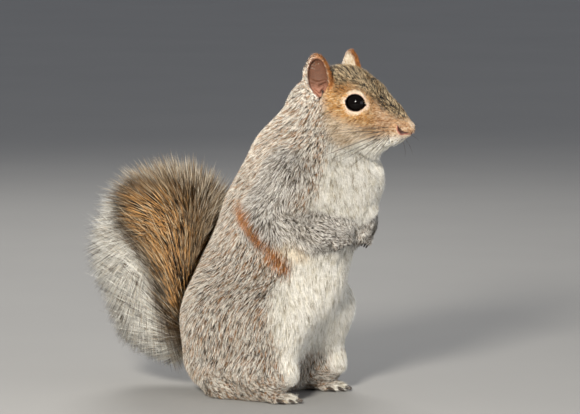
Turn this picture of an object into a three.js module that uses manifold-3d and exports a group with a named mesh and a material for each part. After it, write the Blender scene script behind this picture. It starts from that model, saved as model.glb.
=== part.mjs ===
// Eastern grey squirrel sitting up on its haunches, life size, as closed solids for a museum model.
// Millimetres. +X is the way the body faces, +Y its left, +Z up, and the floor is z = 0.
//
// The outer surface of the coat is one smooth field: round tapers and ellipsoids laid over landmarks of the
// skeleton and blended. A limb owns the space where its own masses are the nearest, the tail all that lies
// outside the body, and planes divide the head, neck, paws and feet from what carries them. So the parts are
// one animal with thin cuts through it, and each is contoured from its field on a grid of its own.
// Ears, eyes, nose, toes and claws are meshes of their own, fitted to that body by cutting and joining.

import * as THREE from "three";
import { mergeVertices } from "three/addons/utils/BufferGeometryUtils.js";
import Module from "manifold-3d";

// ---------------------------------------------------------------- driving dimensions
const CUT = 0.8; // width of a flat cut through the body
const SEAM = 1.8; // width of the curved cut where a limb or the tail lies against the trunk
const GAP = 0.6; // between the body and the pieces set into it
const FILLET = 9; // how softly the parts of the body run into each other
const EYE_RADIUS = 6.2;
const NOSE_PAD = { size: [3, 3.9, 2.9], ahead: 2.4, below: 0.3 };
const EAR = { halfWidth: 7.8, halfHeight: 14, depth: 6, wall: 2.2, facing: 70, lean: -6, sides: 12 };
const FINGERS = { count: 4, spacing: 3.3, radius: 1.9, bone: 3.8, curl: 0.4, forward: 1.5 };
const TOES = { spacing: 3.3, radius: 2.3, lengths: [9, 12, 13, 12, 8], splay: 4 };
const FINGER_CLAW = { length: 2.4, radius: 0.7, droop: 0.8 };
const TOE_CLAW = { length: 5, radius: 1, droop: 1.2 };
const SIDES = [
  ["right", -1],
  ["left", 1],
];

// ---------------------------------------------------------------- landmarks, on the left side where paired
const at = (x, y, z) => new THREE.Vector3(x, y, z);
const SEAT = at(-18, 0, 19);
const RUMP = at(-6, 0, 40);
const BELLY = at(8, 0, 71);
const RIBS = at(20, 0, 106);
const CHEST = at(44, 0, 122);
const THROAT = at(49, 0, 133);
const WITHERS = at(28, 0, 137);
const NECK = at(35, 0, 145);
const NAPE = at(41.5, 0, 165.5);
const CRANIUM = at(56, 0, 175.5);
const STOP = at(72, 0, 171); // where the forehead meets the muzzle
const MUZZLE = at(82, 0, 166);
const NOSE = at(96.3, 0, 160);
const EYE = at(70, 12, 174.3);
const CHEEK = at(65, 9, 163);
const JAW = at(62, 0, 156);
const JOWL = at(73, 0, 152.5);
const LIP = at(84.5, 4, 155.8);
const CHIN = at(82.5, 0, 154);
const EAR_CENTRE = at(49, 20, 189);
const SHOULDER = at(33, 23, 133);
const ELBOW = at(20, 31, 107);
const WRIST = at(56.5, 19, 102);
const PALM = at(62.5, 11, 101);
const PAW_LEAN = 8; // how far both forepaws are held to the right of the middle
const PAW_LEAD = 3.5; // how far the left forepaw is held ahead of the right one, halved
const HIP = at(-12, 22, 46);
const KNEE = at(24, 27, 50);
const SHIN = at(21, 28, 20);
const HEEL = at(-8, 27, 9);
const ANKLE = at(2, 27, 12.5);
const BALL = at(22, 29, 6.5); // of the hind foot
const TAIL = [
  { place: at(-34, 0, 22), radius: 14 },
  { place: at(-52, 0, 38), radius: 24 },
  { place: at(-52, 0, 70), radius: 30 },
  { place: at(-57, 0, 97), radius: 33 },
  { place: at(-74, 0, 97), radius: 30 },
  { place: at(-82, 0, 77), radius: 27 },
  { place: at(-78, 0, 44), radius: 22 },
];
const TAIL_HUB = at(-66, 0, 58); // the middle of the curl, where the cuts between the tail's lengths meet

// Where the spine's parts are divided, and which way it runs there.
const NECK_ROOT = { place: at(42, 0, 144), ahead: at(0.45, 0, 0.89).normalize() };
const HEAD_ROOT = { place: at(51, 0, 166), ahead: at(0.75, 0, 0.66).normalize() };

// ---------------------------------------------------------------- fields
// A field gives about how far a point lies outside a form, and is negative inside it.

/** A limb segment: a ball of radius ra at a, swept to one of radius rb at b. */
function taper(a, ra, b, rb) {
  const axis = b.clone().sub(a);
  return (p) => {
    const x = p.x - a.x;
    const y = p.y - a.y;
    const z = p.z - a.z;
    const share = THREE.MathUtils.clamp((x * axis.x + y * axis.y + z * axis.z) / axis.lengthSq(), 0, 1);
    return Math.hypot(x - share * axis.x, y - share * axis.y, z - share * axis.z) - ra - share * (rb - ra);
  };
}

/** An ellipsoid of the given half sizes, leaning forward by `pitch` degrees. */
function ellipsoid(centre, [rx, ry, rz], pitch = 0) {
  const cos = Math.cos(THREE.MathUtils.degToRad(pitch));
  const sin = Math.sin(THREE.MathUtils.degToRad(pitch));
  return (p) => {
    const [dx, y, dz] = [p.x - centre.x, p.y - centre.y, p.z - centre.z];
    const x = cos * dx - sin * dz;
    const z = sin * dx + cos * dz;
    const unit = Math.hypot(x / rx, y / ry, z / rz);
    const slope = Math.hypot(x / (rx * rx), y / (ry * ry), z / (rz * rz));
    return slope > 0 ? (unit * (unit - 1)) / slope : -Math.min(rx, ry, rz);
  };
}

/** Two distances joined by a fillet. */
function join(a, b, reach) {
  const near = Math.max(reach - Math.abs(a - b), 0) / reach;
  return Math.min(a, b) - (near * near * reach) / 4;
}

/** Forms blended into one by fillets. */
const blend = (reach, ...fields) => (p) => fields.reduce((sum, f) => join(sum, f(p), reach), Infinity);

const onSide = (point, side) => at(point.x, point.y * side, point.z);

/** How much of the forepaws' lean to the right, and of the left one's lead, reaches a point: 0 to 1. */
function leanShare({ x, z }) {
  const { smoothstep } = THREE.MathUtils;
  return smoothstep(x, 34, 56) * smoothstep(z, 70, 88) * (1 - smoothstep(z, 108, 128));
}

/** How far ahead the left forepaw's side is held, and the right one's back, at a distance from their middle. */
const leadAt = (y) => PAW_LEAD * Math.tanh(y / 11);

/** A form, or a point of one, that leans with the forepaws. */
const leaningForm = (field) => (p) => {
  const share = leanShare(p);
  const y = p.y + PAW_LEAN * share;
  return field(at(p.x - leadAt(y) * share, y, p.z));
};
const leaningPoint = (p) => {
  const share = leanShare(p);
  return at(p.x + leadAt(p.y) * share, p.y - PAW_LEAN * share, p.z);
};

// ---------------------------------------------------------------- the masses of each part of the body
function trunkMasses() {
  return blend(
    20,
    ellipsoid(SEAT, [28, 31, 22]),
    ellipsoid(RUMP, [40, 38, 43]),
    ellipsoid(BELLY, [45, 36, 40]),
    ellipsoid(RIBS, [42, 34, 36], 15),
    ellipsoid(CHEST, [30, 28, 26]),
    ellipsoid(THROAT, [25, 23, 16]),
    ellipsoid(WITHERS, [31, 28, 25], 15),
  );
}

function neckMasses() {
  return taper(NECK, 26, NAPE, 24);
}

function headMasses() {
  return blend(
    8,
    ellipsoid(CRANIUM, [22, 19, 20], 15),
    taper(STOP, 14, MUZZLE, 9.5),
    taper(MUZZLE, 9.5, NOSE, 4.8),
    ellipsoid(CHEEK, [15, 10, 11], 10),
    ellipsoid(onSide(CHEEK, -1), [15, 10, 11], 10),
    ellipsoid(LIP, [8, 4.4, 4.8], 8),
    ellipsoid(onSide(LIP, -1), [8, 4.4, 4.8], 8),
    taper(JAW, 11, JOWL, 8),
    taper(JOWL, 8, CHIN, 5),
  );
}

function forelimbMasses(side) {
  const [shoulder, elbow, wrist, palm] = [SHOULDER, ELBOW, WRIST, PALM].map((p) => onSide(p, side));
  const arm = blend(10, taper(shoulder, 16, elbow, 13.5), taper(elbow, 13.5, wrist, 8.6));
  return blend(4, arm, taper(wrist, 8.2, palm, 6.6));
}

function hindlimbMasses(side) {
  const [hip, knee, shin, heel, sole] = [HIP, KNEE, SHIN, HEEL, BALL].map((p) => onSide(p, side));
  const leg = blend(14, taper(hip, 26, knee, 17.5), taper(knee, 17.5, shin, 15), taper(shin, 14, heel, 11));
  return blend(6, leg, taper(heel, 9.5, sole, 7.5));
}

function tailMasses() {
  const lengths = TAIL.slice(1).map((end, i) => taper(TAIL[i].place, TAIL[i].radius, end.place, end.radius));
  return blend(14, ...lengths);
}

// ---------------------------------------------------------------- the whole body, and its division
const masses = { spine: leaningForm(blend(FILLET, trunkMasses(), neckMasses(), headMasses())) };
for (const [name, side] of SIDES) {
  masses[`forelimb_${name}`] = leaningForm(forelimbMasses(side));
  masses[`hindlimb_${name}`] = hindlimbMasses(side);
}

const aboveFloor = (field) => (p) => Math.max(field(p), -p.z);
const wholeBody = aboveFloor(blend(FILLET, ...Object.values(masses)));
const brush = tailMasses();
const wholeTail = aboveFloor((p) => Math.max(brush(p), SEAM - wholeBody(p)));

/** How fast a field grows at p along each axis. */
function gradientOf(field, p, reach = 0.02) {
  const steps = [at(reach, 0, 0), at(0, reach, 0), at(0, 0, reach)];
  return at(...steps.map((s) => (field(p.clone().add(s)) - field(p.clone().sub(s))) / (2 * reach)));
}

/** The share of the body where one group of masses is the nearest, less half a seam. */
function territory(name) {
  const own = masses[name];
  const others = Object.values(masses).filter((field) => field !== own);
  const lead = (p) => own(p) - Math.min(...others.map((field) => field(p)));
  const toSeam = (p) => lead(p) / Math.max(gradientOf(lead, p).length(), 0.1);
  return (p) => Math.max(wholeBody(p), (Math.abs(lead(p)) < 3 ? toSeam(p) : lead(p)) + SEAM / 2);
}

/** The wedge of the tail between two directions from its hub, in degrees up from +X. */
function tailWedge(from, to) {
  const [a, b] = [from, to].map(THREE.MathUtils.degToRad);
  return (p) => {
    const [x, z] = [p.x - TAIL_HUB.x, p.z - TAIL_HUB.z];
    const pastStart = Math.cos(a) * z - Math.sin(a) * x;
    const beforeEnd = Math.sin(b) * x - Math.cos(b) * z;
    return Math.max(wholeTail(p), CUT / 2 - pastStart, CUT / 2 - beforeEnd);
  };
}

/** The stretch of a form before a joint, and the stretch past it, as the direction `ahead` goes. */
function atJoint(form, { place, ahead }) {
  const past = (p) => ahead.dot(p.clone().sub(place));
  return [(p) => Math.max(form(p), past(p) + CUT / 2), (p) => Math.max(form(p), CUT / 2 - past(p))];
}

const [trunk, neckAndHead] = atJoint(territory("spine"), NECK_ROOT);
const [neck, head] = atJoint(neckAndHead, HEAD_ROOT);

/** Each part's field and the step of its grid. */
const parts = {
  trunk: { field: trunk, step: 9 },
  neck: { field: neck, step: 8 },
  head: { field: head, step: 4.5 },
  tail_base: { field: tailWedge(-105, 15), step: 10 },
  tail_crown: { field: tailWedge(15, 122), step: 11 },
  tail_tip: { field: tailWedge(122, 255), step: 10 },
};
for (const [name, side] of SIDES) {
  const alongForearm = onSide(WRIST.clone().sub(ELBOW), side).normalize();
  const wrist = { place: leaningPoint(onSide(WRIST, side)), ahead: alongForearm };
  const ankle = { place: ANKLE, ahead: at(0.15, 0, -1).normalize() };
  const [foreleg, forepaw] = atJoint(territory(`forelimb_${name}`), wrist);
  const [hindleg, hindfoot] = atJoint(territory(`hindlimb_${name}`), ankle);
  parts[`foreleg_${name}`] = { field: foreleg, step: 6 };
  parts[`forepaw_${name}`] = { field: forepaw, step: 5.2 };
  parts[`hindleg_${name}`] = { field: hindleg, step: 8 };
  parts[`hindfoot_${name}`] = { field: hindfoot, step: 7 };
}

// ---------------------------------------------------------------- contouring
// A cell's corners are numbered 0 to 7, with a bit for each axis, and its edges join corners one bit apart.
const AXES = [0, 1, 2];
const cornerPlace = (corner) => AXES.map((axis) => (corner >> axis) & 1);
const CELL_EDGES = [0, 1, 2, 3, 4, 5, 6, 7].flatMap((corner) =>
  AXES.filter((axis) => !((corner >> axis) & 1)).map((axis) => [corner, corner | (1 << axis)]),
);
const CELL_FACES = AXES.flatMap((axis) =>
  [0, 1].map((end) => CELL_EDGES.filter((edge) => edge.every((corner) => ((corner >> axis) & 1) === end))),
);

/** Where the field is zero between two points on either side of its surface. */
function crossingOf(field, inside, outside) {
  for (let n = 0; n < 12; n++) {
    const middle = inside.clone().lerp(outside, 0.5);
    [inside, outside] = field(middle) < 0 ? [middle, outside] : [inside, middle];
  }
  return { point: inside, normal: gradientOf(field, inside).normalize() };
}

const PULLS = 30; // steps towards the planes
const PULL = 1.4; // of each step, as a share of the mean distance

/** The point that lies nearest to all the crossings' planes, so that edges of cuts and flats stay sharp. */
function sharpPoint(crossings, cell) {
  const p = crossings.reduce((sum, { point }) => sum.add(point), at(0, 0, 0)).divideScalar(crossings.length);
  for (let n = 0; n < PULLS; n++) {
    const pull = at(0, 0, 0);
    for (const { point, normal } of crossings) {
      pull.addScaledVector(normal, normal.dot(point.clone().sub(p)));
    }
    p.addScaledVector(pull, PULL / crossings.length);
  }
  cell.clampPoint(p, p);
  if (crossings.some(({ normal }) => normal.z < -0.999)) p.z = 0; // the flats stand exactly on the floor
  return p;
}

/** Groups a cell's crossed edges by the sheet of surface that passes through them. */
function sheetsOf(crossed, isInside) {
  const sheetOf = new Map(crossed.map((edge) => [edge, [edge]]));
  const unite = (a, b) => {
    if (sheetOf.get(a) === sheetOf.get(b)) return;
    const sheet = [...sheetOf.get(a), ...sheetOf.get(b)];
    for (const edge of sheet) sheetOf.set(edge, sheet);
  };
  for (const face of CELL_FACES) {
    const onFace = crossed.filter((edge) => face.includes(edge));
    if (onFace.length === 2) unite(...onFace);
    if (onFace.length === 4)
      for (const corner of new Set(onFace.flat()))
        if (isInside(corner)) unite(...onFace.filter((edge) => edge.includes(corner)));
  }
  return sheetOf;
}

/** The closed surface where a field is zero inside a box, by dual contouring on a grid of the given step. */
function contour(field, box, step) {
  const start = box.min.clone().addScalar(0.13 - 2 * step); // no grid plane lies in the floor
  const [nx, ny, nz] = box.getSize(at(0, 0, 0)).toArray().map((size) => Math.ceil(size / step) + 5);
  const keyOf = ([i, j, k]) => i + nx * (j + ny * k);
  const placeOf = ([i, j, k]) => at(i, j, k).multiplyScalar(step).add(start);
  const inside = new Uint8Array(nx * ny * nz);
  const nodes = [];
  for (let k = 0; k < nz - 1; k++)
    for (let j = 0; j < ny - 1; j++) for (let i = 0; i < nx - 1; i++) nodes.push([i, j, k]);
  for (const node of nodes) inside[keyOf(node)] = field(placeOf(node)) < 0 ? 1 : 0;

  const positions = [];
  const cells = new Map();
  const crossings = new Map();
  function crossingOn(a, b) {
    const key = `${keyOf(a)}-${keyOf(b)}`;
    const ends = inside[keyOf(a)] ? [placeOf(a), placeOf(b)] : [placeOf(b), placeOf(a)];
    if (!crossings.has(key)) crossings.set(key, crossingOf(field, ...ends));
    return crossings.get(key);
  }
  /** The vertices of a cell, one for each sheet, by the edges that the sheet crosses. */
  function verticesIn(cell) {
    if (cells.has(keyOf(cell))) return cells.get(keyOf(cell));
    const nodeAt = (corner) => cornerPlace(corner).map((c, n) => c + cell[n]);
    const isInside = (corner) => inside[keyOf(nodeAt(corner))] === 1;
    const sheetOf = sheetsOf(CELL_EDGES.filter(([a, b]) => isInside(a) !== isInside(b)), isInside);
    const walls = new THREE.Box3(placeOf(nodeAt(0)), placeOf(nodeAt(7)));
    const vertexOf = new Map();
    for (const sheet of new Set(sheetOf.values())) {
      const cut = sheet.map(([a, b]) => crossingOn(nodeAt(a), nodeAt(b)));
      for (const [a, b] of sheet) vertexOf.set(a * 8 + b, positions.length);
      positions.push(sharpPoint(cut, walls));
    }
    cells.set(keyOf(cell), vertexOf);
    return vertexOf;
  }

  const faces = [];
  const strayOf = (a, b) => Math.abs(field(positions[a].clone().lerp(positions[b], 0.5)));
  for (const node of nodes)
    for (const axis of AXES) {
      const next = node.map((c, n) => c + (n === axis ? 1 : 0));
      if (inside[keyOf(node)] === inside[keyOf(next)]) continue;
      const [u, v] = [1 << ((axis + 1) % 3), 1 << ((axis + 2) % 3)];
      const ring = [0, u, u | v, v].map((corner) => {
        const cell = cornerPlace(corner).map((c, n) => node[n] - c);
        return verticesIn(cell).get(corner * 8 + (corner | (1 << axis)));
      });
      if (!inside[keyOf(node)]) ring.reverse();
      if (strayOf(ring[0], ring[2]) > strayOf(ring[1], ring[3])) ring.push(ring.shift());
      faces.push(ring[0], ring[1], ring[2], ring[0], ring[2], ring[3]);
    }
  return new THREE.BufferGeometry().setFromPoints(positions).setIndex(faces);
}

/** A surface without its stray islands and pockets, which lie in the part around them. */
function mainShell(geometry) {
  const faces = geometry.index.array;
  const shellOf = Array.from({ length: geometry.getAttribute("position").count }, (_, i) => i);
  const rootOf = (i) => (shellOf[i] === i ? i : (shellOf[i] = rootOf(shellOf[i])));
  for (let f = 0; f < faces.length; f += 3) {
    shellOf[rootOf(faces[f + 1])] = rootOf(faces[f]);
    shellOf[rootOf(faces[f + 2])] = rootOf(faces[f]);
  }
  const shells = Map.groupBy(faces, (i) => rootOf(i));
  const [main] = [...shells.values()].sort((a, b) => b.length - a.length);
  return geometry.setIndex(main);
}

const AROUND = new THREE.Box3(at(-132, -66, -6), at(120, 66, 216)); // the whole animal, with room to spare

/** A box around where a field is under zero, found on a coarse grid. */
function reachOf(field, spacing = 6) {
  const { min, max } = AROUND;
  const box = new THREE.Box3();
  for (let x = min.x; x <= max.x; x += spacing)
    for (let y = min.y; y <= max.y; y += spacing)
      for (let z = min.z; z <= max.z; z += spacing)
        if (field(at(x, y, z)) < spacing) box.expandByPoint(at(x, y, z));
  return box;
}

// ---------------------------------------------------------------- cutting and joining
const wasm = await Module();
wasm.setup();

function solidOf(geometry) {
  const places = geometry.getAttribute("position").clone();
  const bare = new THREE.BufferGeometry().setAttribute("position", places);
  bare.setIndex(geometry.index);
  const merged = mergeVertices(bare, 1e-3);
  const vertProperties = merged.getAttribute("position").array;
  const triVerts = new Uint32Array(merged.index.array);
  return new wasm.Manifold(new wasm.Mesh({ numProp: 3, vertProperties, triVerts }));
}

function geometryOf(solid) {
  const { vertProperties, triVerts } = solid.getMesh();
  return new THREE.BufferGeometry()
    .setAttribute("position", new THREE.BufferAttribute(vertProperties, 3))
    .setIndex(new THREE.BufferAttribute(triVerts, 1));
}

const without = (geometry, ...cutters) =>
  mainShell(geometryOf(cutters.reduce((solid, cutter) => solid.subtract(solidOf(cutter)), solidOf(geometry))));
const withAdded = (geometry, ...pieces) =>
  geometryOf(pieces.reduce((solid, piece) => solid.add(solidOf(piece)), solidOf(geometry)));

/** The body near a point, grown by a cut, as a block that trims a fitted piece. */
function bodyNear(centre, reach, step) {
  const outside = (p) => Math.max(...p.clone().sub(centre).toArray().map(Math.abs)) - reach;
  const block = new THREE.Box3().setFromCenterAndSize(centre, at(2, 2, 2).multiplyScalar(reach));
  return contour((p) => Math.max(wholeBody(p) - CUT, outside(p)), block, step);
}

// ---------------------------------------------------------------- eyes, nose and ears
const ball = (radius, centre) => new THREE.IcosahedronGeometry(radius, 1).translate(...centre.toArray());

function nosePad(growth) {
  return new THREE.IcosahedronGeometry(1, 1)
    .scale(...NOSE_PAD.size.map((half) => half + growth))
    .translate(NOSE.x + NOSE_PAD.ahead, 0, NOSE.z - NOSE_PAD.below);
}

/** An oval cup, its mouth towards +Z and its height along +Y. */
function earCup() {
  const { depth, wall, halfWidth, halfHeight } = EAR;
  const rim = (radius, deep, from, to) =>
    Array.from({ length: 4 }, (_, i) => {
      const angle = (from + ((to - from) * i) / 3) * (Math.PI / 2);
      return new THREE.Vector2(radius * Math.sin(angle), -deep * Math.cos(angle));
    });
  const profile = [...rim(1, depth, 0, 1), ...rim(1 - wall / halfWidth, depth - wall, 1, 0)];
  profile[0].x = 0;
  profile[profile.length - 1].x = 0;
  return new THREE.LatheGeometry(profile, EAR.sides).rotateX(Math.PI / 2).scale(halfWidth, halfHeight, 1);
}

/** The frame of an ear: its mouth faces outwards and forwards, and it leans back a little. */
function earGeometry(side) {
  const facing = THREE.MathUtils.degToRad(side * EAR.facing);
  const mouth = at(Math.cos(facing), Math.sin(facing), 0);
  const height = at(Math.sin(THREE.MathUtils.degToRad(EAR.lean)), 0, 1).projectOnPlane(mouth).normalize();
  const width = height.clone().cross(mouth);
  const frame = new THREE.Matrix4().makeBasis(width, height, mouth).setPosition(onSide(EAR_CENTRE, side));
  return earCup().applyMatrix4(frame);
}

// ---------------------------------------------------------------- toes and claws
/** A finger or toe bone from a to b, as a five-sided taper with blunt ends. */
function digit(a, ra, b, rb) {
  const axis = b.clone().sub(a);
  const length = axis.length();
  const profile = [
    new THREE.Vector2(0, -ra),
    new THREE.Vector2(0.87 * ra, -0.5 * ra),
    new THREE.Vector2(0.87 * rb, length + 0.5 * rb),
    new THREE.Vector2(0, length + rb),
  ];
  const turn = new THREE.Quaternion().setFromUnitVectors(at(0, 1, 0), axis.normalize());
  return new THREE.LatheGeometry(profile, 5).applyQuaternion(turn).translate(...a.toArray());
}

/** A claw that grows from `root` along `ahead` and bends towards `down`. */
function claw(root, ahead, down, { length, radius, droop }) {
  const cone = new THREE.ConeGeometry(radius, length, 5, 2).translate(0, length / 2, 0);
  const places = cone.getAttribute("position");
  for (let i = 0; i < places.count; i++) {
    const share = places.getY(i) / length;
    places.setZ(i, places.getZ(i) + droop * share * share);
  }
  const frame = new THREE.Matrix4().makeBasis(ahead.clone().cross(down), ahead, down).setPosition(root);
  return cone.applyMatrix4(frame);
}

/** The bones and claw roots of a forepaw's fingers, which hang from the palm and curl in to the chest. */
function fingersOf(side) {
  const ahead = at(0.3, -0.2 * side, -0.9).normalize();
  const back = at(1, 0.2 * side, 0).projectOnPlane(ahead).normalize();
  const across = back.clone().cross(ahead).multiplyScalar(FINGERS.spacing);
  const curled = ahead.clone().addScaledVector(back, -FINGERS.curl).normalize();
  const down = back.clone().negate().projectOnPlane(curled).normalize();
  return Array.from({ length: FINGERS.count }, (_, i) => {
    const knuckle = leaningPoint(onSide(PALM, side))
      .addScaledVector(across, i - (FINGERS.count - 1) / 2)
      .addScaledVector(back, FINGERS.forward)
      .addScaledVector(ahead, FINGERS.forward);
    const joint = knuckle.clone().addScaledVector(ahead, FINGERS.bone);
    const tip = joint.clone().addScaledVector(curled, FINGERS.bone * 0.8);
    return { bones: [knuckle, joint, tip], ahead: curled, down };
  });
}

/** The bones and claw roots of a hind foot's toes, which spread along the floor. */
function toesOf(side) {
  const ball = onSide(BALL, side);
  return TOES.lengths.map((length, i) => {
    const place = i - (TOES.lengths.length - 1) / 2; // counted outwards from the middle toe
    const root = ball.clone().add(at(2 - Math.abs(place), side * place * TOES.spacing, -1));
    const splay = THREE.MathUtils.degToRad(side * place * TOES.splay);
    const ahead = at(Math.cos(splay), Math.sin(splay), 0);
    const tip = root.clone().addScaledVector(ahead, length).add(at(0, 0, -3.1));
    return { bones: [root, tip], ahead, down: at(0, 0, -1) };
  });
}

/** The meshes of one digit's bones, each a little thinner than the last. */
function digitBones({ bones }, radius) {
  const radiusAt = (i) => radius * (1.15 - (0.35 * i) / (bones.length - 1));
  return bones.slice(1).map((end, i) => digit(bones[i], radiusAt(i), end, radiusAt(i + 1)));
}

// ---------------------------------------------------------------- materials and assembly
const finishes = {
  coat: new THREE.MeshStandardMaterial({ color: 0x9a938b, roughness: 0.9, metalness: 0 }),
  tail: new THREE.MeshStandardMaterial({ color: 0x8d7a63, roughness: 0.95, metalness: 0 }),
  ear: new THREE.MeshStandardMaterial({ color: 0xa9805f, roughness: 0.8, metalness: 0 }),
  eye: new THREE.MeshStandardMaterial({ color: 0x0a0808, roughness: 0.05, metalness: 0 }),
  nose: new THREE.MeshStandardMaterial({ color: 0x9a6a55, roughness: 0.5, metalness: 0 }),
  claw: new THREE.MeshStandardMaterial({ color: 0x2b2420, roughness: 0.4, metalness: 0 }),
};

const squirrel = new THREE.Group();
function show(name, geometry, finish) {
  const mesh = new THREE.Mesh(geometry, finish);
  mesh.name = name;
  squirrel.add(mesh);
}

const surfaceOf = (field, step) => mainShell(contour(field, reachOf(field), step));
const pieces = {};
for (const [name, { field, step }] of Object.entries(parts)) pieces[name] = surfaceOf(field, step);

/** The space that a part and the gap around it take up, to trim a coarser neighbour with. */
const roomFor = (name) => surfaceOf((p) => parts[name].field(p) - GAP, parts[name].step);
const limbs = Object.keys(parts).filter((name) => /leg|paw|foot/.test(name));
const limbRooms = limbs.map(roomFor);
const digitSets = SIDES.flatMap(([name, side]) => [
  { limb: `forepaw_${name}`, digits: fingersOf(side), radius: FINGERS.radius, clawSize: FINGER_CLAW },
  { limb: `hindfoot_${name}`, digits: toesOf(side), radius: TOES.radius, clawSize: TOE_CLAW },
]);
const bonesOf = ({ digits, radius }, growth = 0) =>
  digits.flatMap((each) => digitBones(each, radius + growth));
const digitRooms = digitSets.flatMap((set) => bonesOf(set, GAP));
pieces.trunk = without(pieces.trunk, roomFor("neck"), ...limbRooms, ...digitRooms);
pieces.neck = without(pieces.neck, roomFor("head"), ...limbRooms);
pieces.head = without(
  pieces.head,
  ...SIDES.map(([, side]) => ball(EYE_RADIUS + GAP, onSide(EYE, side))),
  nosePad(GAP),
);

show("nose", nosePad(0), finishes.nose);
for (const [name, side] of SIDES) {
  show(`eye_${name}`, ball(EYE_RADIUS, onSide(EYE, side)), finishes.eye);
  show(`ear_${name}`, without(earGeometry(side), bodyNear(onSide(EAR_CENTRE, side), 20, 4)), finishes.ear);
}
for (const set of digitSets) {
  const { limb, digits, radius, clawSize } = set;
  pieces[limb] = withAdded(pieces[limb], ...bonesOf(set));
  digits.forEach(({ bones, ahead, down }, i) => {
    const root = bones.at(-1).clone().addScaledVector(ahead, 0.8 * radius + GAP);
    show(`${limb}_claw_${i + 1}`, claw(root, ahead, down, clawSize), finishes.claw);
  });
}
for (const [name, geometry] of Object.entries(pieces))
  show(name, geometry, name.startsWith("tail") ? finishes.tail : finishes.coat);

// The origin is on the floor, under the middle of the whole animal.
const middle = new THREE.Box3().setFromObject(squirrel).getCenter(at(0, 0, 0));
squirrel.position.set(-middle.x, -middle.y, 0);

export default squirrel;
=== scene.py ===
"""Eastern grey squirrel sitting up on its haunches: its skin, coat, eyes, whiskers and claws.

The forms are worked out in millimetres over landmarks of the skeleton, as the solids are, and moved
into the frame by the place of the eyes. One skin is contoured inside the coat. Tufts of hair grow on it
along the lie of the coat, and both take their colours from the same markings.
"""

import math

import bpy
import numpy as np
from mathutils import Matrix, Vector


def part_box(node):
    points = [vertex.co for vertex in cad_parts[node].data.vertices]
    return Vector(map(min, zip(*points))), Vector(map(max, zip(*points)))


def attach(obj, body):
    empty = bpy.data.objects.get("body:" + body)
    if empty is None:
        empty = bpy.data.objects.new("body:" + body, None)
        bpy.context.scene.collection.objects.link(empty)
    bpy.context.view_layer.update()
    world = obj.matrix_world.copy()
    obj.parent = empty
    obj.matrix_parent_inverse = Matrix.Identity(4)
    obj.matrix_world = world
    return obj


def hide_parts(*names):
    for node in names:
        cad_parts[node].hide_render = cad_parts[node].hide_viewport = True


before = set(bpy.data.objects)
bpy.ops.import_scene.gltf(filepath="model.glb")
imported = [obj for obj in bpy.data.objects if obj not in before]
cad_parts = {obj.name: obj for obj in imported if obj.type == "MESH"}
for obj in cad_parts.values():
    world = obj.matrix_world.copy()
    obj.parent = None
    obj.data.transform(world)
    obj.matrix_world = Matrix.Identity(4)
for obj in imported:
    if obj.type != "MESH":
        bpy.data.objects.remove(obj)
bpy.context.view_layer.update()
rng = np.random.default_rng(7)

# ---- landmarks, mm, on the left side where paired
SEAT = (-18, 0, 19)
RUMP = (-6, 0, 40)
BELLY = (8, 0, 71)
RIBS = (20, 0, 106)
CHEST = (44, 0, 122)
THROAT = (49, 0, 133)
WITHERS = (28, 0, 137)
NECK = (35, 0, 145)
NAPE = (41.5, 0, 165.5)
CRANIUM = (56, 0, 175.5)
STOP = (72, 0, 171)
MUZZLE = (82, 0, 166)
NOSE = (96.3, 0, 160)
EYE = (70, 12, 174.3)
CHEEK = (65, 9, 163)
JAW = (62, 0, 156)
JOWL = (73, 0, 152.5)
LIP = (84.5, 4, 155.8)
CHIN = (82.5, 0, 154)
EAR = (49, 20, 187.8)
SHOULDER = (33, 23, 133)
ELBOW = (20, 31, 107)
WRIST = (56.5, 19, 102)
PALM = (62.5, 11, 101)
PAW_LEAN = 8  # how far the paws, and the chest behind them, stand to the right
PAW_LEAD = 3.5  # how far the left paw is held ahead of the right one, halved
HIP = (-12, 22, 46)
KNEE = (24, 27, 50)
SHIN = (21, 28, 20)
HEEL = (-8, 27, 9)
BALL = (22, 29, 6.5)
TAIL = [(-34, 0, 22), (-52, 0, 38), (-52, 0, 70), (-57, 0, 97), (-74, 0, 97), (-82, 0, 77)]
TAIL += [(-78, 0, 44)]
BRUSH = [14, 24, 30, 33, 30, 27, 22]  # radius of the tail's hair at each of its landmarks
TAIL_BONE = 0.34  # radius of the fleshy tail, as a share of its brush
FILLET = 9
HAUNCH_FILLET = 15
EYE_RADIUS = 6.2
EAR_SIZE = {"half_width": 7, "half_height": 13, "depth": 4.2, "wall": 0.9, "narrowing": 0.45}
EAR_FACING = 70  # degrees from straight ahead
EAR_LEAN = -6
FINGERS = {"count": 4, "spacing": 3.3, "radius": 1.9, "bone": 3.8, "curl": 0.4, "forward": 1.5}
TOES = {"spacing": 3.3, "radius": 2.3, "lengths": (9, 12, 13, 12, 8), "splay": 4}
FINGER_CLAW = {"length": 2.4, "radius": 0.7, "droop": 0.8}
TOE_CLAW = {"length": 5, "radius": 1, "droop": 1.2}
CLAW_ROOT = 0.8  # how deep a claw is set in its digit

MM = 0.001
SIDES = (("right", -1), ("left", 1))


def vec(*numbers):
    return np.array(numbers, float)


def eye_middle():
    """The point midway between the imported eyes, in the row frame."""
    corners = [np.array(corner) for name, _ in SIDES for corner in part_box(f"eye_{name}")]
    return sum(corners) / len(corners)


OFFSET = eye_middle() - vec(EYE[0], 0, EYE[2]) * MM


def to_row(points):
    return points * MM + OFFSET


def smooth(low, high, x):
    """0 below low, 1 above high, and an even slope between."""
    t = np.clip((x - low) / (high - low), 0, 1)
    return t * t * (3 - 2 * t)


def norm(v):
    """The lengths of vectors."""
    return np.linalg.norm(v, axis=-1)


def unit(v):
    return v / np.maximum(norm(v)[..., None], 1e-9)


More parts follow.
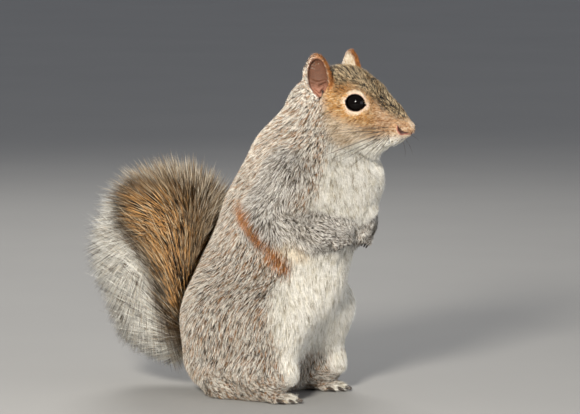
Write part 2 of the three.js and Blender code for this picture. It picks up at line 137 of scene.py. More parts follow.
# ---- fields, about the distance outside a form
def taper(a, ra, b, rb):
    """A ball of radius ra at a, swept to one of radius rb at b."""
    a, axis = vec(*a), vec(*b) - vec(*a)

    def field(p):
        share = np.clip((p - a) @ axis / (axis @ axis), 0, 1)
        return norm(p - a - share[:, None] * axis) - ra - share * (rb - ra)

    return field


def ellipsoid(centre, radii, pitch=0):
    """An ellipsoid that leans forward by `pitch` degrees."""
    centre, radii = vec(*centre), vec(*radii)
    cos, sin = math.cos(math.radians(pitch)), math.sin(math.radians(pitch))
    turn = np.array([[cos, 0, -sin], [0, 1, 0], [sin, 0, cos]])

    def field(p):
        q = (p - centre) @ turn.T / radii
        scale = norm(q)
        slope = norm(q / radii)
        return scale * (scale - 1) / np.maximum(slope, 1e-6)

    return field


def join(a, b, reach):
    near = np.maximum(reach - np.abs(a - b), 0) / reach
    return np.minimum(a, b) - near * near * reach / 4


def carve(a, b, reach):
    """What is left of a outside b, with a rounded edge."""
    return -join(-a, b, reach)


def blend(reach, *fields):
    def field(p):
        total = fields[0](p)
        for each in fields[1:]:
            total = join(total, each(p), reach)
        return total

    return field


def chain(points, radii, reach):
    pairs = zip(points, radii, points[1:], radii[1:])
    return blend(reach, *(taper(*pair) for pair in pairs))


trunk = blend(
    20,
    ellipsoid(SEAT, (28, 31, 22)),
    ellipsoid(RUMP, (40, 38, 43)),
    ellipsoid(BELLY, (45, 36, 40)),
    ellipsoid(RIBS, (42, 34, 36), 15),
    ellipsoid(CHEST, (30, 28, 26)),
    ellipsoid(THROAT, (25, 23, 16)),
    ellipsoid(WITHERS, (31, 28, 25), 15),
)
neck = taper(NECK, 26, NAPE, 24)
head = blend(
    8,
    ellipsoid(CRANIUM, (22, 19, 20), 15),
    taper(STOP, 14, MUZZLE, 9.5),
    taper(MUZZLE, 9.5, NOSE, 4.8),
    ellipsoid(CHEEK, (15, 10, 11), 10),
    ellipsoid(LIP, (8, 4.4, 4.8), 8),
    taper(JAW, 11, JOWL, 8),
    taper(JOWL, 8, CHIN, 5),
)
forelimb = blend(4, chain([SHOULDER, ELBOW, WRIST], [16, 13.5, 8.6], 10), taper(WRIST, 8.2, PALM, 6.6))
leg = blend(14, taper(HIP, 26, KNEE, 17.5), taper(KNEE, 17.5, SHIN, 15), taper(SHIN, 14, HEEL, 11))
hindlimb = blend(6, leg, taper(HEEL, 9.5, BALL, 7.5))
spine = blend(FILLET, blend(16, trunk, neck), head)
body = blend(HAUNCH_FILLET, blend(FILLET, spine, forelimb), hindlimb)
brush = chain(TAIL, BRUSH, 14)
tail_bone = chain(TAIL, [TAIL_BONE * radius for radius in BRUSH], 6)


def gradient(field, p, reach=0.05):
    columns = []
    for axis in np.eye(3) * reach:
        columns.append((field(p + axis) - field(p - axis)) / (2 * reach))
    return np.column_stack(columns)


def settle(field, p, height=0.0, rounds=1):
    """Moves points to a height over a field's surface, and gives the directions out of it there."""
    for _ in range(rounds):
        slope = gradient(field, p)
        size = np.maximum(norm(slope)[:, None], 0.3)
        away = (field(p) - height)[:, None]
        p = p - np.clip(away, -2.5, 2.5) * slope / size**2
    return p, unit(slope)


# ---- how deep the coat is over the skin
DEEP_COAT = 3.4
# Where it is shallower: a place, how far that reaches fully and at all, and the depth there.
SHALLOW = [
    (NOSE, 6, 30, 0.6),
    ((80, 6, 163), 9, 26, 1),
    (EYE, 8.5, 13, 0.5),
    (EYE, 11, 26, 1.1),
    (CRANIUM, 18, 36, 1.7),
    (CHEEK, 14, 32, 1.8),
    (EAR, 12, 24, 0.7),
    (WRIST, 9, 30, 1.6),
    (PALM, 8, 24, 1),
    (BALL, 12, 26, 0.9),
    (HEEL, 8, 22, 1.2),
]


def lean_share(p):
    """How much of the paws' lean to the right, and of the left one's lead, reaches each place."""
    x, _, z = p.T
    return smooth(34, 56, x) * smooth(70, 88, z) * smooth(128, 108, z)


def lean(p):
    """How far the middle of the body stands to the right at each place."""
    return PAW_LEAN * lean_share(p)


def lead(y):
    """How far ahead the paws are held, at a distance to the left of their middle."""
    return PAW_LEAD * np.tanh(y / PALM[1])


def folded(p):
    """Points brought over to the left side, as the animal is even about its middle."""
    y = p[:, 1] + lean(p)
    return np.column_stack([p[:, 0] - lead(y) * lean_share(p), np.abs(y), p[:, 2]])


def coat_depth(q):
    depth = np.full(len(q), float(DEEP_COAT))
    for place, full, none, shallow in SHALLOW:
        away = smooth(full, none, norm(q - vec(*place)))
        depth = np.minimum(depth, shallow + (DEEP_COAT - shallow) * away)
    return depth


# ---- ears, lids, nostrils, mouth, fingers and toes
def frame_of(ahead, up):
    """Rows that turn a point into how far it lies across, along `up` and along `ahead`."""
    ahead = unit(vec(*ahead))
    up = unit(vec(*up) - ahead * (vec(*up) @ ahead))
    return np.array([np.cross(up, ahead), up, ahead])


FACING, LEANING = math.radians(EAR_FACING), math.radians(EAR_LEAN)
EAR_FRAME = frame_of((math.cos(FACING), math.sin(FACING), 0), (math.sin(LEANING), 0, 1))
EAR_OVAL = vec(EAR_SIZE["half_width"], EAR_SIZE["half_height"], EAR_SIZE["depth"])
EYE_FRAME = frame_of((0.32, 0.94, 0.08), (0.2, 0, 1))
APERTURE = {"length": 5.9, "height": 4.7, "lid": 0.75}
NOSTRIL = [(94, 6, 161), (94.8, 5.6, 159.4), (95.7, 5, 157.6), (98, 3.6, 157.4), (100, 0, 157.9)]
MOUTH = [(89, 0, 149.8), (85.6, 2.4, 148.6), (83.8, 5.3, 148.9), (80, 8.2, 149.6), (77, 10, 150)]
CLEFT = [(98.6, 0, 156.6), (96.5, 0, 154), (93, 0, 151.4)]

# Folds of the ear and the slit under it, in the places that in_ear() gives: across (back), up and out.
EAR_FOLDS = [
    ([(6.6, 6, 0), (7.2, 0, 0.3), (6.6, -6, 0.3), (4.6, -11.5, 0.3)], [1.2, 1.3, 1.3, 0.9]),
    ([(-5, 8, -0.4), (-6.2, 2, -0.4), (-6.2, -4, -0.4)], [0.7, 0.9, 0.8]),
    ([(4.6, -1, -2.4), (1.2, -2.8, -2.5), (-3.6, -1.6, -1.8)], [1.1, 1.2, 0.9]),
    ([(3.6, -4.6, -2), (0.6, -6.6, -1.8), (-2.2, -4.8, -1.8)], [1.3, 1.5, 1]),
    ([(3, -10.4, -0.2), (4.6, -8, -0.6)], [1.3, 1]),
]
ear_folds = [chain(points, radii, 0.8) for points, radii in EAR_FOLDS]
ear_slit = chain([(-2, -7.4, -1.6), (-2.4, -10, -0.8), (1.4, -12.6, 0.8)], [1.1, 1.4, 1.2], 0.6)


def in_ear(q):
    """Places across, up and out of the ear's cup, widened towards its root as if it were an oval."""
    local = (q - vec(*EAR)) @ EAR_FRAME.T
    narrow = 1 - EAR_SIZE["narrowing"] * smooth(2, 12, -local[:, 1])
    return local / np.column_stack([narrow, np.ones((len(q), 2))])


def ear_depth(local):
    """How far a place lies inside the oval that the ear's cup is hollowed from."""
    shell = norm(local / EAR_OVAL)
    slope = np.maximum(norm(local / EAR_OVAL**2), 1e-3)
    return shell * (1 - shell) / slope


def rim_share(local):
    """How far out from the middle of the ear's cup a place lies: 1 at its rim."""
    return np.hypot(*(local / EAR_OVAL).T[:2])


def ear_cup(q):
    """A thin oval cup with a rolled rim, its mouth facing outwards."""
    wall = EAR_SIZE["wall"]
    local = in_ear(q)
    out = local[:, 2]
    bowl = np.abs(ear_depth(local) - wall / 2) - wall / 2
    rim = np.hypot((rim_share(local) - 0.96) * EAR_SIZE["half_width"], out) - 0.75 * wall
    cup = join(np.maximum(bowl, out), rim, 1.2)
    for fold in ear_folds:
        cup = join(cup, fold(local), 1)
    return carve(cup, ear_slit(local), 0.8)


def finger_bones(side=1):
    """The knuckle, joint and tip of each finger, and the ways that its claw points and bends."""
    ahead = unit(vec(0.3, -0.2 * side, -0.9))
    back = vec(1, 0.2 * side, 0)
    back = unit(back - ahead * (back @ ahead))
    across = np.cross(back, ahead) * FINGERS["spacing"]
    curled = unit(ahead - FINGERS["curl"] * back)
    down = unit(-back - curled * (-back @ curled))
    palm = vec(PALM[0], PALM[1] * side, PALM[2])
    digits = []
    for i in range(FINGERS["count"]):
        knuckle = palm + across * (i - (FINGERS["count"] - 1) / 2) + (back + ahead) * FINGERS["forward"]
        joint = knuckle + ahead * FINGERS["bone"]
        tip = joint + curled * FINGERS["bone"] * 0.8
        digits.append(([knuckle, joint, tip], curled, down))
    return digits


def toe_bones(side=1):
    ball = vec(BALL[0], BALL[1] * side, BALL[2])
    digits = []
    for i, length in enumerate(TOES["lengths"]):
        place = i - (len(TOES["lengths"]) - 1) / 2
        root = ball + vec(2 - abs(place), side * place * TOES["spacing"], -1)
        splay = math.radians(side * place * TOES["splay"])
        ahead = vec(math.cos(splay), math.sin(splay), 0)
        tip = root + ahead * length + vec(0, 0, -3.1)
        digits.append(([root, tip], ahead, vec(0, 0, -1)))
    return digits


def digit_field(bones, radius):
    radii = [radius * (1.12 - 0.35 * i / (len(bones) - 1)) for i in range(len(bones))]
    return chain(bones, radii, 0.6)


fingers = [digit_field(bones, FINGERS["radius"]) for bones, _, _ in finger_bones()]
toes = [digit_field(bones, TOES["radius"]) for bones, _, _ in toe_bones()]


def under_coat(q):
    return body(q) + coat_depth(q)


def groove(points, radii):
    """A groove that follows a line laid on the skin."""
    laid, _ = settle(under_coat, np.array(points, float), rounds=3)
    return chain([tuple(point) for point in laid], radii, 0.5)


mouth_line = groove(MOUTH, [0.7, 0.8, 0.85, 0.75, 0.4])
cleft = groove(CLEFT, [0.4, 0.45, 0.4])
nostril = groove(NOSTRIL, [0.6, 1.15, 1.1, 0.55, 0.4])


def eye_parts(q):
    """Distances outside the eyeball and the opening of the lids, and how far out a point lies."""
    across, up, out = ((q - vec(*EYE)) @ EYE_FRAME.T).T
    ball = norm(q - vec(*EYE)) - EYE_RADIUS
    lengthways = across / APERTURE["length"]
    arch = np.maximum(1 - lengthways**2, 0) ** np.where(lengthways < 0, 0.7, 0.5)
    opening = np.maximum(np.abs(up) - APERTURE["height"] * arch, np.abs(across) - APERTURE["length"])
    return ball, opening, out


def add_eyes(skin, q):
    ball, opening, out = eye_parts(q)
    lids = join(skin, ball - APERTURE["lid"], 3)
    hollow = np.maximum(np.minimum(ball - 0.05, np.maximum(opening, 1 - out)), ball - 6)
    return carve(lids, hollow, 0.35)


def add_mouth(skin, q):
    skin = carve(skin, mouth_line(q), 0.9)
    skin = carve(skin, cleft(q), 0.6)
    return carve(skin, nostril(q), 0.5)


def add_ear(skin, q):
    """Hollows the head in front of the cup, then sets the cup in it."""
    across, up, out = in_ear(q).T
    sunk = np.column_stack([across, up, np.minimum(out, 0)])
    hollow = (norm(sunk / EAR_OVAL) - 0.9) * EAR_OVAL[0]
    return join(carve(skin, hollow, 1.5), ear_cup(q), 2)


def joined(fields, reach):
    def add(skin, q):
        for field in fields:
            skin = join(skin, field(q), reach)
        return skin

    return add


DETAILS = [  # each works only near its place
    (EAR, 18, add_ear),
    (EYE, 13, add_eyes),
    ((92, 3, 156), 16, add_mouth),
    ((64, 11, 90), 18, joined(fingers, 0.8)),
    ((29, 29, 5), 20, joined(toes, 0.8)),
]


def skin_field(p):
    """The skin: the body and the fleshy tail inside the coat, with every detail of face and feet."""
    q = folded(p)
    skin = join(under_coat(q), tail_bone(q), 8)
    for place, reach, add in DETAILS:
        near = np.flatnonzero(np.max(np.abs(q - vec(*place)), axis=1) < reach)
        if len(near):
            skin[near] = add(skin[near], q[near])
    return np.maximum(skin, 0.3 - p[:, 2])


# ---- the skin's mesh, by surface nets
def levels(*stretches):
    """Grid levels along an axis, from stretches of (start, step, end)."""
    return np.unique(np.concatenate([np.arange(start, end, step) for start, step, end in stretches]))


def lattice(axes):
    """The points of a grid, whose last axis holds each one's x, y and z."""
    return np.stack(np.meshgrid(*axes, indexing="ij"), -1)


GRID = (
    levels((-100, 1.4, 34), (34, 0.6, 104)),
    levels((-54, 1.3, -30), (-30, 0.6, 30), (30, 1.3, 55)),
    levels((-2, 0.9, 16), (16, 1.4, 86), (86, 1, 144), (144, 0.6, 207)),
)
BLOCK = 8  # grid cells along each side of the blocks that are tested first


def grid_values(field, grid):
    """The field at every grid point near its surface, and only its sign elsewhere."""
    shape = [len(axis) for axis in grid]
    values = np.ones(shape, np.float32)
    spans = [[slice(i, min(i + BLOCK, n)) for i in range(0, n, BLOCK)] for n in shape]
    pairs = zip(grid, spans)
    ends = [np.array([(axis[s.start], axis[s.stop - 1]) for s in span]) for axis, span in pairs]
    middles = lattice([each.mean(axis=1) for each in ends]).reshape(-1, 3)
    halves = lattice([np.ptp(each, axis=1) / 2 for each in ends]).reshape(-1, 3)
    away = field(middles)
    near = np.abs(away) < 1.5 * norm(halves) + 4
    blocks = [(a, b, c) for a in spans[0] for b in spans[1] for c in spans[2]]
    for block, sign, is_near in zip(blocks, np.sign(away), near):
        if not is_near:
            values[block] = sign
    picked = [block for block, is_near in zip(blocks, near) if is_near]
    points = [lattice([axis[s] for axis, s in zip(grid, block)]) for block in picked]
    found = field(np.concatenate([each.reshape(-1, 3) for each in points]))
    start = 0
    for block, each in zip(picked, points):
        count = each.size // 3
        values[block] = found[start : start + count].reshape(each.shape[:3])
        start += count
    return values


def surface_net(values, grid):
    """Vertices and quads of the surface where the grid's values change sign."""
    shape = np.array(values.shape)
    strides = np.array([shape[1] * shape[2], shape[2], 1])
    total = int(shape.prod())
    sums = np.zeros((total, 3))
    counts = np.zeros(total)
    quads = []
    for axis in range(3):
        low = np.moveaxis(values, axis, 0)[:-1]
        high = np.moveaxis(values, axis, 0)[1:]
        found = np.argwhere((low < 0) != (high < 0))
        first, second = low[tuple(found.T)], high[tuple(found.T)]
        index = np.insert(found[:, 1:], axis, found[:, 0], axis=1)
        point = np.column_stack([grid[k][index[:, k]] for k in range(3)])
        step = np.diff(grid[axis])[index[:, axis]]
        point[:, axis] += step * first / (first - second)
        cell = index @ strides
        u, v = strides[(axis + 1) % 3], strides[(axis + 2) % 3]
        ring = np.column_stack([cell, cell - u, cell - u - v, cell - v])
        for corner in ring.T:
            counts += np.bincount(corner, minlength=total)
            for k in range(3):
                sums[:, k] += np.bincount(corner, point[:, k], minlength=total)
        quads.append(np.where((first < 0)[:, None], ring, ring[:, ::-1]))
    quads = np.concatenate(quads)
    used = np.flatnonzero(counts)
    vertex = np.zeros(total, int)
    vertex[used] = np.arange(len(used))
    return sums[used] / counts[used, None], vertex[quads]


def placed(name, data):
    """A new object of the scene."""
    made = bpy.data.objects.new(name, data)
    bpy.context.scene.collection.objects.link(made)
    return made


def mesh_object(name, points, faces, smooth_shaded=True):
    """A mesh of faces with the same number of corners, from points in mm."""
    mesh = bpy.data.meshes.new(name)
    count, corners = faces.shape
    mesh.vertices.add(len(points))
    mesh.vertices.foreach_set("co", to_row(points).astype(np.float32).ravel())
    mesh.loops.add(count * corners)
    mesh.loops.foreach_set("vertex_index", faces.astype(np.int32).ravel())
    mesh.polygons.add(count)
    mesh.polygons.foreach_set("loop_start", np.arange(0, count * corners, corners, dtype=np.int32))
    mesh.update(calc_edges=True)
    mesh.validate()
    if smooth_shaded:
        mesh.shade_smooth()
    else:
        mesh.shade_flat()
    return placed(name, mesh)


skin_points, skin_quads = surface_net(grid_values(skin_field, GRID), GRID)
skin_points, _ = settle(skin_field, skin_points, rounds=2)


# ---- colours of the coat
def shade(red, green, blue):
    """A colour as seen, 0 to 255, in the renderer's linear numbers."""
    seen = vec(red, green, blue) / 255
    return np.where(seen <= 0.04045, seen / 12.92, ((seen + 0.055) / 1.055) ** 2.4)


# Each kind of coat is a mix of hairs: their colours, as seen, and their shares of it.
GREY = [((248, 242, 230), 0.42), ((186, 172, 152), 0.2), ((66, 55, 45), 0.26), ((188, 134, 80), 0.12)]
WHITE = [((250, 247, 238), 0.7), ((228, 221, 202), 0.2), ((178, 166, 144), 0.1)]
RUSTY = [((190, 116, 42), 0.5), ((120, 72, 30), 0.36), ((204, 160, 110), 0.14)]
OCHRE = [((220, 164, 92), 0.5), ((146, 96, 48), 0.24), ((240, 214, 170), 0.26)]
BROW = [((190, 132, 70), 0.42), ((84, 56, 30), 0.4), ((226, 192, 142), 0.18)]
CROWN = [((222, 198, 158), 0.3), ((136, 102, 60), 0.14), ((20, 15, 12), 0.56)]
BUFF = [((244, 234, 214), 0.6), ((204, 178, 144), 0.27), ((116, 96, 72), 0.13)]
MUZZLE_COAT = [((222, 180, 136), 0.46), ((172, 126, 86), 0.28), ((240, 218, 188), 0.26)]
CREAM = [((250, 238, 218), 0.8), ((226, 204, 174), 0.2)]
ARM = [((240, 236, 228), 0.42), ((176, 167, 154), 0.3), ((86, 77, 68), 0.28)]
EAR_BACK = [((246, 234, 210), 0.75), ((214, 180, 136), 0.25)]
EAR_RIM = [((184, 118, 58), 0.6), ((116, 72, 36), 0.4)]
EAR_SKIN = shade(96, 62, 44)
EAR_PINK = shade(152, 106, 86)
NOSE_SKIN = shade(156, 98, 82)
HAND_SKIN = shade(112, 92, 78)
LID_SKIN = shade(26, 18, 15)
LID_RING = shade(206, 178, 156)
# Painted shade for the insides of the nostrils, mouth line, cleft of the lip and slit of the ear.
GROOVE_SHADE = shade(30, 18, 14)

# The front edge of the grey coat on the side of the body, as places (z, x).
HEM = [(0, 33), (20, 34), (38, 32), (55, 29), (64, 27), (70, 27), (75, 32), (81, 36), (92, 34), (98, 40)]
HEM += [(104, 67), (110, 61), (115, 55), (118, 50), (123, 52), (131, 54), (140, 55), (148, 55), (160, 60)]
FLANK_STREAK = [(0, 31, 116), (5, 36, 112.6), (12.7, 45, 108.6), (15.9, 46, 103.6), (18.9, 44, 98.3)]
FLANK_STREAK += [(21, 41, 94), (25, 36, 88), (32, 33, 81)]
BROW_LINE = [(62, 18, 183), (70, 14, 185), (77, 10.5, 181.5), (81, 9, 177)]
# The dark edge along the tail's fall, as places (x, z).
CRESCENT = [(-96, 122), (-74, 95), (-58, 74), (-51, 46), (-48, 10)]


def pick(mix, chance):
    """The colour of each hair of a mix, from a chance between 0 and 1."""
    edges = np.cumsum([share for _, share in mix])
    colours = np.array([shade(*colour) for colour, _ in mix])
    return colours[np.minimum(np.searchsorted(edges, chance), len(mix) - 1)]


def average(mix):
    return sum(shade(*colour) * share for colour, share in mix)


def to_line(q, points):
    """Distance to a line through points."""
    return chain(points, [0.0] * len(points), 1e-3)(q)


def to_paw(q):
    return to_line(q, [WRIST, PALM])


def over(base, colour, share):
    return base + (colour - base) * share[:, None]


def painted(colour, chance, layers):
    """Lays mixes of hair over a colour in turn, each as thickly as its share."""
    for mix, share in layers:
        colour = over(colour, pick(mix, chance), share)
    return colour


def nearest_mass(q):
    """How much each point belongs to the head, forelimb and hindlimb rather than to the trunk."""
    spine = np.minimum(trunk(q), neck(q))
    on_head = smooth(-4, 6, np.minimum(spine, forelimb(q)) - head(q) + (q[:, 0] - 50) * 0.3)
    on_arm = smooth(-2.5, 2.5, np.minimum(spine, head(q)) - forelimb(q))
    on_leg = smooth(-3, 3, spine - hindlimb(q))
    return on_head, on_arm, on_leg


def hem_at(z):
    """How far forward the grey coat reaches at each height."""
    heights, reaches = np.array(HEM).T
    return np.interp(z, heights, reaches)


def body_colour(p, chance, drift):
    """The coat's colour at points.

    `chance` picks a hair of each mix, and `drift`, mm, frays the markings' edges.
    """
    q = folded(p)
    x, y, z = q.T
    on_head, _, _ = nearest_mass(q)
    brighter_neck = 0.94 + 0.14 * smooth(128, 150, z)
    colour = pick(GREY, chance) * brighter_neck[:, None]
    under = smooth(-3, 3, x + drift - hem_at(z) - 0.15 * np.maximum(y - 30, 0))
    # Painted shade: the white coat is darkened up the chest, which faces up into the light more than the
    # belly does.
    painted_chest_shade = 1 - 0.17 * smooth(96, 108, z)
    colour = over(colour, pick(WHITE, chance) * painted_chest_shade[:, None], under)
    below_arm = smooth(10, 4, np.abs(z - 94)) * smooth(18, 26, x) * smooth(54, 42, x)
    on_arm = smooth(-2.5, 2.5, trunk(q) - forelimb(q) + 1 + 5 * smooth(40, 56, x) + drift)
    on_paw = smooth(14, 11, to_paw(q) + drift)
    streak = 0.95 - 0.95 * smooth(0.8, 3.6, to_line(q, FLANK_STREAK) - coat_depth(q) + 1.1 * drift)
    layers = [(BUFF, below_arm), (ARM, np.maximum(on_arm, on_paw)), (RUSTY, streak)]
    colour = painted(colour, chance, layers)
    return over(colour, head_colour(q, chance, drift), on_head)


def profile(x):
    """The height of the line from the nose to the middle of the skull."""
    return 161 + (97 - x) * 0.36


def head_colour(q, chance, drift):
    x, _, z = q.T
    above = z + 0.35 * drift - profile(x)
    crest = np.interp(x, [40, 58, 66, 76, 86, 94], [4, 9, 13, 11, 5.5, 3.5])
    jowl = smooth(3, 11, -above) * (1 - 0.7 * smooth(74, 84, x))
    throat = np.interp(x, [40, 56, 61, 65, 71, 78, 88], [142, 145, 148, 150, 153, 154.5, 156])
    nose_tip = 1 - smooth(1, 3, norm(q - vec(100, 0, 162)))
    _, opening, _ = eye_parts(q)
    near_eye = 1 - smooth(12, 15, norm(q - vec(*EYE)))
    layers = [
        (BROW, 1 - smooth(2.5, 6, to_line(q, BROW_LINE))),
        (MUZZLE_COAT, smooth(76, 86, x)),
        (CROWN, smooth(-2.5, 2.5, above - crest)),
        (BUFF, 0.75 * jowl),
        (WHITE, smooth(-2.5, 2.5, throat + 0.5 * drift - z)),
        (GREY, smooth(2, 12, 57 + drift - x) * smooth(-14, -4, above)),
        (CREAM, 0.4 * nose_tip),
        (CREAM, 0.85 * (1 - smooth(1.5, 2, opening + 0.15 * drift)) * near_eye),
    ]
    colour = painted(pick(OCHRE, chance), chance, layers)
    return over(colour, ear_colour(q, chance, drift), smooth(180, 184, z) * ear_share(q))


def ear_share(q):
    """1 on the ear itself, 0 on the head around it."""
    return 1 - smooth(1.05, 1.3, norm(in_ear(q) / (EAR_OVAL + 1.5)))


def ear_colour(q, chance, drift):
    local = in_ear(q)
    across, up, _ = local.T
    edge = rim_share(local) + 0.03 * drift + 0.2 * smooth(1, 5, across) * smooth(-6, 2, up)
    return over(pick(EAR_BACK, chance), pick(EAR_RIM, chance), smooth(0.84, 0.95, edge))


TAIL_BROWN = [((204, 156, 98), 0.32), ((150, 112, 70), 0.2), ((214, 194, 160), 0.12), ((36, 26, 17), 0.36)]
TAIL_BAND = [((62, 50, 38), 0.5), ((146, 124, 96), 0.5)]
TAIL_TIPS = [((226, 214, 192), 0.6), ((150, 128, 100), 0.4)]
TAIL_FALL = [((254, 252, 244), 0.7), ((210, 196, 174), 0.14), ((84, 70, 56), 0.16)]
TAIL_DARK = [((34, 27, 21), 0.8), ((176, 164, 144), 0.2)]


def tail_colour(p, share, chance, drift):
    """Brown inside the tail, a dark band and pale tips towards its outline, pale along its fall."""
    x, _, z = p.T
    inward = -brush(p * vec(1, 0, 1)) + drift
    reaches, heights = np.array(CRESCENT)[::-1].T
    fall = np.interp(z, heights, reaches) - x + drift  # past the crescent, towards the tip
    colour = over(pick(TAIL_TIPS, chance), pick(TAIL_BAND, chance), smooth(1, 6, inward))
    colour = over(colour, pick(TAIL_BROWN, chance), smooth(9, 19, inward) * smooth(22, 52, z))
    pale = over(pick(TAIL_BAND, chance), pick(TAIL_FALL, chance), smooth(0.1, 0.35, share))
    colour = over(colour, pale, smooth(0, 7, fall))
    edge = 0.95 * np.exp(-((fall / 7) ** 2)) * smooth(3, 8, inward) * smooth(20, 45, z)
    return over(colour, pick(TAIL_DARK, chance), edge)


def set_colours(made, colours):
    """Stores a colour for each vertex, for the materials to read."""
    attribute = made.data.attributes.new("coat", "FLOAT_COLOR", "POINT")
    rgba = np.ones((len(colours), 4), np.float32)
    rgba[:, :3] = colours
    attribute.data.foreach_set("color", rgba.ravel())


# ---- the skin
def ear_inside(q):
    """1 on the inner wall of the ear's cup, 0 outside it."""
    local = in_ear(q)
    wall = EAR_SIZE["wall"]
    return smooth(0.4 * wall, 0.8 * wall, ear_depth(local)) * smooth(-1.6, -0.6, -local[:, 2])


def bare(q):
    """How bare the skin is, and its colour there."""
    colour = np.tile(HAND_SKIN, (len(q), 1))
    digits = np.min([field(q) for field in fingers + toes], axis=0)
    share = 0.45 * (1 - smooth(0.3, 1.6, digits))
    inside = ear_inside(q)
    height = in_ear(q)[:, 1]
    colour = over(colour, EAR_SKIN, inside)
    colour = over(colour, EAR_PINK, inside * smooth(-1, -9, height))
    nose = 1 - smooth(0.4, 1.4, np.minimum(nostril(q), cleft(q)))
    colour = over(colour, NOSE_SKIN, nose)
    slit = ear_slit(in_ear(q)) + 0.2 + 9 * (ear_share(q) < 0.5)
    grooves = np.min([nostril(q), mouth_line(q), cleft(q), slit], axis=0)
    # Painted shade: the skin is darkened inside these grooves.
    shade_in_grooves = 1 - smooth(-0.1, 0.35, grooves)
    colour = over(colour, GROOVE_SHADE, shade_in_grooves)
    ball, opening, _ = eye_parts(q)
    lid = (1 - smooth(1.3, 1.7, opening)) * (ball < 4)
    colour = over(colour, LID_RING, lid)
    colour = over(colour, LID_SKIN, lid * (1 - smooth(0.3, 0.7, opening)))
    return np.max([share, inside, nose, shade_in_grooves, lid], axis=0), colour


def skin_colour(p):
    """The coat's markings, darker between the hairs, and bare ears, nose, lids and hands."""
    q = folded(p)
    speckle = rng.random(len(p))
    on_tail = smooth(-2, 2, body(q) + coat_depth(q) - tail_bone(q))
    still = np.zeros(len(p))
    colour = over(body_colour(p, speckle, still), average(CROWN), on_tail)
    share, bare_colour = bare(q)
    return over(0.7 * colour, bare_colour, share)


def make_skin():
    skin = mesh_object("skin", skin_points, skin_quads)
    set_colours(skin, skin_colour(skin_points))
    bpy.context.view_layer.objects.active = skin
    skin.select_set(True)
    skin.data.uv_layers.new(name="OFBake")
    bpy.ops.object.mode_set(mode="EDIT")
    bpy.ops.mesh.select_all(action="SELECT")
    bpy.ops.uv.smart_project(angle_limit=math.radians(75), island_margin=0.001)
    bpy.ops.object.mode_set(mode="OBJECT")
    skin.select_set(False)
    return skin


skin = make_skin()


# ---- where the hairs stand and how they lie
def lie_of_coat(p):
    """The way the hair points at each place, before it is laid along the surface."""
    q = folded(p)
    x, _, z = q.T
    on_head, on_arm, on_leg = nearest_mass(q)
    still = np.zeros(len(q))
    back = -0.1 - 0.35 * smooth(115, 160, z) + 0.25 * smooth(30, 60, x)
    way = np.column_stack([back, 0.12 + still, -1 + still])
    forearm = smooth(24, 36, x) * smooth(-120, -108, -z)
    arm = over(np.tile(vec(-0.3, 0.2, -0.93), (len(q), 1)), vec(0.93, -0.32, -0.3), forearm)
    way = over(way, arm, on_arm)
    foot = on_leg * (1 - smooth(12, 20, z))
    way = over(way, vec(1, 0.05, -0.2), foot)
    cheek = smooth(0, 12, profile(x) - z)
    downward = -0.05 - 0.5 * cheek - 0.25 * smooth(60, 45, x)
    face = np.column_stack([-1 + still, 0.05 + 0.2 * cheek, downward])
    way = over(way, face, on_head)
    from_eye = q - vec(*EYE)
    round_eye = on_head * np.exp(-((norm(from_eye) / 10) ** 4))
    way = over(way, unit(from_eye * vec(1, 0, 1)) + vec(-0.5, 0, -0.1), round_eye)
    from_ear = norm((q - vec(*EAR)) * vec(1, 1, 0.6))
    on_ear = (1 - smooth(8, 12, from_ear)) * smooth(178, 184, z)
    way = over(way, vec(-0.35, 0.1, 1), on_ear)
    way[:, 1] *= np.where(p[:, 1] + lean(p) < 0, -1, 1)
    return way


def hairless(q):
    """Places with no tufts: the eye and its lids' edge, nostrils, mouth, inside of the ear, soles."""
    ball, opening, _ = eye_parts(q)
    at_eye = (opening < 1.05) & (ball < 4)
    at_lips = np.min([nostril(q), cleft(q) + 0.3, mouth_line(q)], axis=0) < 0.5
    return at_eye | at_lips | (ear_inside(q) > 0.5) | (q[:, 2] < 1.2)


def tuft_size(q):
    """Length and width of the tufts, which follow the depth of the coat."""
    depth = coat_depth(q)
    return 1.2 + depth, 0.26 + 0.05 * depth


def clumps(p, cell, alone):
    """Which clump of hair each place belongs to: a share of them stand alone."""
    cells = np.floor((p + rng.normal(0, 0.16, p.shape)) / cell).astype(int)
    _, clump = np.unique(cells, axis=0, return_inverse=True)
    clump = clump.ravel()
    lone = np.flatnonzero(rng.random(len(p)) < alone)
    clump[lone] = clump.max() + 1 + np.arange(len(lone))
    return clump


def gathered(points, clump, share):
    """Points drawn towards the middle of their clump."""
    counts = np.maximum(np.bincount(clump), 1)
    middles = np.column_stack([np.bincount(clump, column) / counts for column in points.T])
    return points + share * (middles[clump] - points)


skin_faces = np.empty(len(skin.data.loops), np.int32)
skin.data.loops.foreach_get("vertex_index", skin_faces)
skin_faces = skin_faces.reshape(-1, 4)
skin_uv = np.empty(len(skin.data.loops) * 2, np.float32)
skin.data.uv_layers["OFBake"].data.foreach_get("uv", skin_uv)
skin_uv = skin_uv.reshape(-1, 4, 2)


def scatter(faces, density, count):
    """`count` places on the skin's faces, as thick as `density`, with their places on its unwrap."""
    corners = skin_points[skin_faces[faces]]
    diagonals = corners[:, 2:] - corners[:, :2]
    area = norm(np.cross(diagonals[:, 0], diagonals[:, 1])) / 2
    odds = np.cumsum(area * density)
    chosen = np.searchsorted(odds, rng.random(count) * odds[-1])
    u, v = rng.random((2, count, 1))
    weights = np.stack([(1 - u) * (1 - v), u * (1 - v), u * v, (1 - u) * v], axis=1)
    return (corners[chosen] * weights).sum(1), (skin_uv[faces[chosen]] * weights).sum(1)


# ---- tufts
PATCH = 0.003  # side of a tuft's patch on the unwrap
BLADE = [(0, 0.36), (-0.5, -0.16), (0.5, -0.16)]  # a tuft's corners, across and up, in widths
FLOOR_GAP = 0.15  # how low a hair may hang over the floor
LONERS = 0.2  # share of the tufts that stand outside any clump
GATHERING = 0.35  # how far a tuft's tip leans to the middle of its clump


